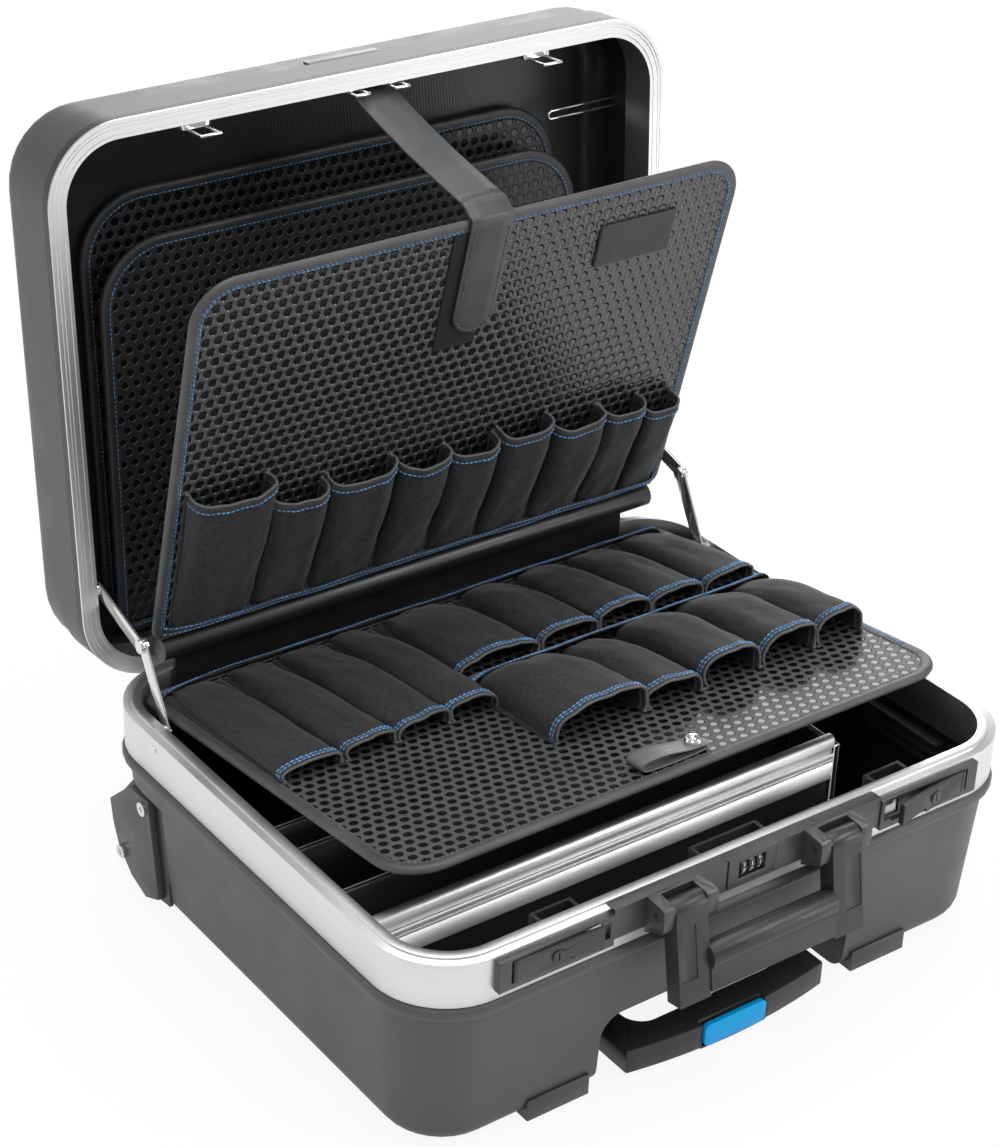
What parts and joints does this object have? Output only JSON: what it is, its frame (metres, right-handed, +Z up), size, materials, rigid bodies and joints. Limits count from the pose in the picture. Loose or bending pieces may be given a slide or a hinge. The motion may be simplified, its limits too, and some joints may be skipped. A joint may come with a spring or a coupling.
{
  "type": "wheeled tool case",
  "caption": "Hard-shell wheeled tool case with aluminium-framed rims, hinged lid held open by stays, folding pocketed tool boards, latches, number lock, carry handle and trolley.",
  "frame": {"origin": "centre of the base's bottom, under the middle of the overall box with the lid open", "axes": "+X to the right of someone facing the latches, +Y from the latches to the hinges, +Z up"},
  "size_m": [0.5054, 0.5402, 0.5372],
  "materials": {
    "grained_grey_plastic": "grained",
    "frame_aluminium": "satin",
    "black_plastic": "satin",
    "dark_grey_plastic": "satin",
    "mill_aluminium": "brushed",
    "tube_aluminium": "satin",
    "bright_steel": "polished",
    "board_cloth": "woven",
    "pocket_cloth": "woven",
    "strap_leather": "smooth",
    "blue_plastic": "satin",
    "tyre_rubber": "matt",
    "badge_plastic": "satin"
  },
  "bodies": {
    "case_base": {"base_shell": "grained_grey_plastic", "base_frame": "frame_aluminium", "base_feet": "black_plastic", "wheel_cover_left": "grained_grey_plastic", "wheel_cover_right": "grained_grey_plastic", "wheel_arches": "black_plastic", "wheel_axles": "bright_steel", "cover_bolts": "bright_steel", "lock_bar": "black_plastic", "latch_plates": "black_plastic", "lock_housing": "black_plastic", "catch_boxes": "black_plastic", "handle_brackets": "black_plastic", "frame_rivets": "bright_steel", "trolley_sleeves": "tube_aluminium", "trolley_cover": "black_plastic", "divider_front": "mill_aluminium", "divider_board_front": "black_plastic", "dividers": "mill_aluminium", "side_rails": "black_plastic", "board_rail": "black_plastic", "hinge_base_leaves": "bright_steel"},
    "lid": {"lid_shell": "grained_grey_plastic", "lid_frame": "frame_aluminium", "lid_catches": "bright_steel", "badge_plate": "badge_plastic", "wire_clip": "bright_steel", "hinge_lid_leaves": "bright_steel"},
    "rear_board_1": {"rear_board_1": "board_cloth"},
    "rear_board_2": {"rear_board_2": "board_cloth"},
    "front_board": {"front_board": "board_cloth", "front_board_binding": "board_cloth", "front_pockets": "pocket_cloth", "strap_end": "strap_leather"},
    "strap": {"strap": "strap_leather"},
    "base_board": {"base_board": "board_cloth", "base_board_binding": "board_cloth", "base_pockets_rear": "pocket_cloth", "base_pockets_front": "pocket_cloth", "finger_loop": "strap_leather", "loop_snap": "bright_steel"},
    "stays_lower": {"stay_lower_left": "bright_steel", "stay_lower_right": "bright_steel"},
    "stays_upper": {"stay_upper_left": "bright_steel", "stay_upper_right": "bright_steel"},
    "carry_handle": {"handle_arms": "dark_grey_plastic", "handle_grip": "dark_grey_plastic"},
    "latch_lever_left": {"latch_lever_left": "dark_grey_plastic"},
    "latch_lever_right": {"latch_lever_right": "dark_grey_plastic"},
    "key_plug_left": {"key_plug_left": "dark_grey_plastic"},
    "key_plug_right": {"key_plug_right": "dark_grey_plastic"},
    "dial_1": {"dial_1": "black_plastic"},
    "dial_2": {"dial_2": "black_plastic"},
    "dial_3": {"dial_3": "black_plastic"},
    "trolley_mid": {"trolley_mid_tubes": "tube_aluminium"},
    "trolley_grip": {"trolley_inner_tubes": "tube_aluminium", "trolley_grip": "dark_grey_plastic"},
    "trolley_button": {"trolley_button": "blue_plastic"},
    "wheel_left": {"wheel_left": "tyre_rubber"},
    "wheel_right": {"wheel_right": "tyre_rubber"}
  },
  "joints": [
    {"name": "lid_hinge", "type": "hinge", "parent": "case_base", "child": "lid", "pos_m": [0, 0.15999, 0.1422], "axis": [1, 0, 0], "range_deg": [0, 93.7]},
    {"name": "front_board_hinge", "type": "hinge", "parent": "case_base", "child": "front_board", "pos_m": [0, 0.13849, 0.178], "axis": [1, 0, 0], "range_deg": [0, 76.02]},
    {"name": "base_board_hinge", "type": "hinge", "parent": "case_base", "child": "base_board", "pos_m": [0, 0.13849, 0.143], "axis": [1, 0, 0], "range_deg": [0, 7.02]},
    {"name": "rear_board_1_hinge", "type": "hinge", "parent": "lid", "child": "rear_board_1", "pos_m": [0, 0.24038, 0.15654], "axis": [1, 0, 0], "range_deg": [0, 0.3948]},
    {"name": "rear_board_2_hinge", "type": "hinge", "parent": "lid", "child": "rear_board_2", "pos_m": [0, 0.21993, 0.14243], "axis": [1, 0, 0], "range_deg": [0, 1.14]},
    {"name": "strap_fold", "type": "hinge", "parent": "front_board", "child": "strap", "pos_m": [0, 0.06415, 0.47617], "axis": [1, 0, 0], "range_deg": [0, 83.48], "deforming": ["strap"]},
    {"name": "stays_lower_pivot", "type": "hinge", "parent": "case_base", "child": "stays_lower", "pos_m": [0, 0.09349, 0.144], "axis": [1, 0, 0], "range_deg": [0, 133.19]},
    {"name": "stays_upper_pivot", "type": "hinge", "parent": "lid", "child": "stays_upper", "pos_m": [0, 0.17937, 0.2126], "axis": [-1, 0, 0], "range_deg": [0, 82.05]},
    {"name": "carry_handle_swing", "type": "hinge", "parent": "case_base", "child": "carry_handle", "pos_m": [0, -0.25151, 0.143], "axis": [-1, 0, 0], "range_deg": [-9.5, 80]},
    {"name": "latch_lever_left_swing", "type": "hinge", "parent": "case_base", "child": "latch_lever_left", "pos_m": [-0.185, -0.24051, 0.138], "axis": [0, 0, -1], "range_deg": [-4, 70]},
    {"name": "latch_lever_right_swing", "type": "hinge", "parent": "case_base", "child": "latch_lever_right", "pos_m": [0.185, -0.24051, 0.138], "axis": [0, 0, 1], "range_deg": [-8, 66]},
    {"name": "key_plug_left_turn", "type": "hinge", "parent": "latch_lever_left", "child": "key_plug_left", "pos_m": [-0.15553, -0.24197, 0.138], "axis": [0.0698, 0.9976, 0], "range_deg": [0, 90]},
    {"name": "key_plug_right_turn", "type": "hinge", "parent": "latch_lever_right", "child": "key_plug_right", "pos_m": [0.1557, -0.24402, 0.138], "axis": [-0.1392, 0.9903, 0], "range_deg": [0, 90]},
    {"name": "dial_1_spin", "type": "hinge", "parent": "case_base", "child": "dial_1", "pos_m": [-0.0066, -0.23401, 0.1415], "axis": [1, 0, 0], "continuous": true},
    {"name": "dial_2_spin", "type": "hinge", "parent": "case_base", "child": "dial_2", "pos_m": [0, -0.23401, 0.1415], "axis": [1, 0, 0], "continuous": true},
    {"name": "dial_3_spin", "type": "hinge", "parent": "case_base", "child": "dial_3", "pos_m": [0.0066, -0.23401, 0.1415], "axis": [1, 0, 0], "continuous": true},
    {"name": "trolley_mid_slide", "type": "slide", "parent": "case_base", "child": "trolley_mid", "axis": [0, -1, 0], "range_m": [0, 0.24]},
    {"name": "trolley_grip_slide", "type": "slide", "parent": "trolley_mid", "child": "trolley_grip", "axis": [0, -1, 0], "range_m": [0, 0.24]},
    {"name": "trolley_button_press", "type": "slide", "parent": "trolley_grip", "child": "trolley_button", "axis": [0, 1, 0], "range_m": [0, 0.003], "stiffness_N_per_m": 900},
    {"name": "wheel_left_spin", "type": "hinge", "parent": "case_base", "child": "wheel_left", "pos_m": [-0.2279, 0.12749, 0.0345], "axis": [1, 0, 0], "continuous": true},
    {"name": "wheel_right_spin", "type": "hinge", "parent": "case_base", "child": "wheel_right", "pos_m": [0.2279, 0.12749, 0.0345], "axis": [1, 0, 0], "continuous": true}
  ],
  "couplings": [
    {"joint": "front_board_hinge", "follows": "lid_hinge", "ratio": 0.8111},
    {"joint": "base_board_hinge", "follows": "lid_hinge", "ratio": 0.0747},
    {"joint": "rear_board_1_hinge", "follows": "lid_hinge", "ratio": 0.004},
    {"joint": "rear_board_2_hinge", "follows": "lid_hinge", "ratio": 0.012},
    {"joint": "strap_fold", "follows": "lid_hinge", "ratio": 0.8907},
    {"joint": "stays_lower_pivot", "follows": "lid_hinge", "ratio": 1.4212},
    {"joint": "stays_upper_pivot", "follows": "lid_hinge", "ratio": 0.8754}
  ]
}
